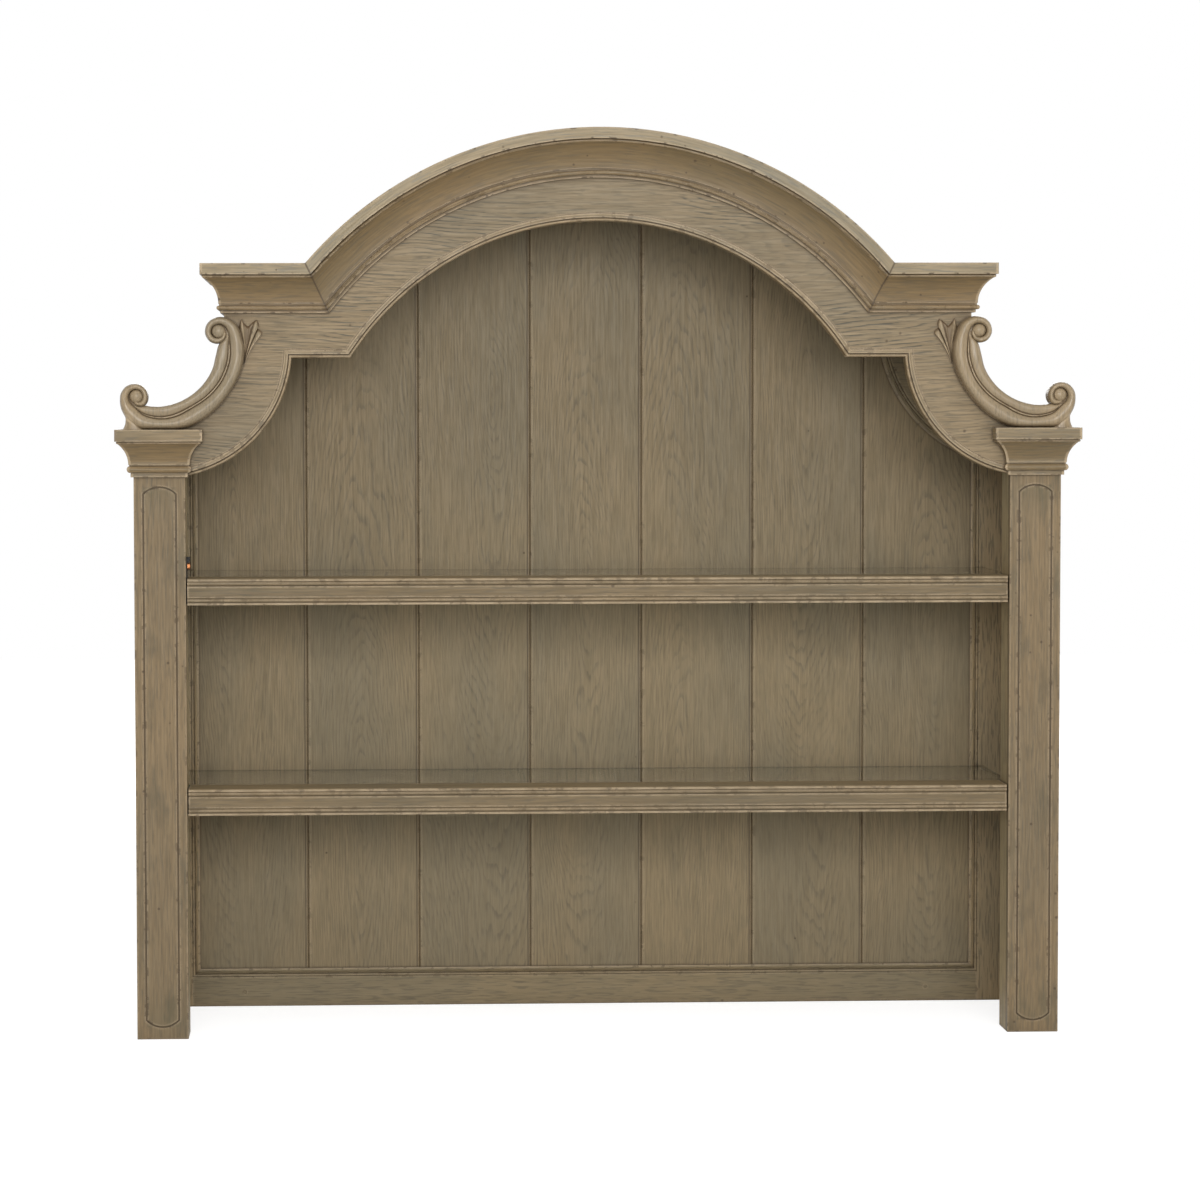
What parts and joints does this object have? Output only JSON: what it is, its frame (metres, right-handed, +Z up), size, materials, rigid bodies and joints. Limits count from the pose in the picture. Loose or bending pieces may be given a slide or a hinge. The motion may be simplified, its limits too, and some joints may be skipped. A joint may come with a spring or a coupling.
{
  "type": "kitchen hutch",
  "caption": "Open kitchen hutch top with a shouldered arch crown, carved scrolls on pilasters, boarded back and shelves of wood and glass.",
  "frame": {"origin": "middle of the bounding box's bottom, which is the plane that the hutch stands on", "axes": "+X to the viewer's right, +Y towards the back, +Z up"},
  "size_m": [1.6, 0.387, 1.5085],
  "materials": {
    "case_oak": "weathered grey-brown, open grain, low sheen",
    "moulded_oak": "weathered grey-brown, dark glaze in the quirks, low sheen",
    "carved_oak": "weathered grey-brown, dark glaze in the carving, low sheen",
    "back_oak": "weathered grey-brown, open grain, low sheen",
    "shelf_glass": "clear with a green edge",
    "black_steel": "satin black",
    "plain_steel": "satin",
    "copper_screw": "copper-coloured, satin"
  },
  "bodies": {
    "case": {"back_board_1": "back_oak", "back_board_2": "back_oak", "back_board_3": "back_oak", "back_board_4": "back_oak", "back_board_5": "back_oak", "back_board_6": "back_oak", "back_board_7": "back_oak", "back_bottom_rail": "back_oak", "back_moulding_arch": "back_oak", "back_moulding_bottom": "back_oak", "back_moulding_curve_left": "back_oak", "back_moulding_curve_right": "back_oak", "back_moulding_shoulder_left": "back_oak", "back_moulding_shoulder_right": "back_oak", "back_moulding_side_left": "back_oak", "back_moulding_side_right": "back_oak", "back_stile_left": "back_oak", "back_stile_right": "back_oak", "back_top_rail": "back_oak", "bracket_screws": "plain_steel", "capital_front_left": "moulded_oak", "capital_front_right": "moulded_oak", "capital_inner_left": "moulded_oak", "capital_inner_right": "moulded_oak", "capital_outer_left": "moulded_oak", "capital_outer_right": "moulded_oak", "crown_arch": "moulded_oak", "crown_return_left": "moulded_oak", "crown_return_right": "moulded_oak", "crown_shoulder_left": "moulded_oak", "crown_shoulder_right": "moulded_oak", "frieze_board": "case_oak", "glass_pins": "plain_steel", "keeper_plate": "black_steel", "keeper_screw": "copper_screw", "leaf_left": "carved_oak", "leaf_right": "carved_oak", "opening_bead_arch": "moulded_oak", "opening_bead_curve_left": "moulded_oak", "opening_bead_curve_right": "moulded_oak", "opening_bead_shoulder_left": "moulded_oak", "opening_bead_shoulder_right": "moulded_oak", "pilaster_left": "case_oak", "pilaster_right": "case_oak", "post_left": "case_oak", "post_right": "case_oak", "rail_brackets": "black_steel", "roof_arch": "case_oak", "roof_shoulder_left": "case_oak", "roof_shoulder_right": "case_oak", "roof_side_left": "case_oak", "roof_side_right": "case_oak", "scroll_left": "carved_oak", "scroll_right": "carved_oak", "shelf_rail_lower": "case_oak", "shelf_rail_upper": "case_oak", "side_panel_left": "case_oak", "side_panel_right": "case_oak"},
    "glass_upper": {"shelf_glass_upper": "shelf_glass"},
    "glass_lower": {"shelf_glass_lower": "shelf_glass"}
  },
  "joints": [
    {"name": "glass_upper_lift", "type": "slide", "parent": "case", "child": "glass_upper", "axis": [0, 0, 1], "range_m": [0, 0.27]},
    {"name": "glass_lower_lift", "type": "slide", "parent": "case", "child": "glass_lower", "axis": [0, 0, 1], "range_m": [0, 0.3]}
  ]
}
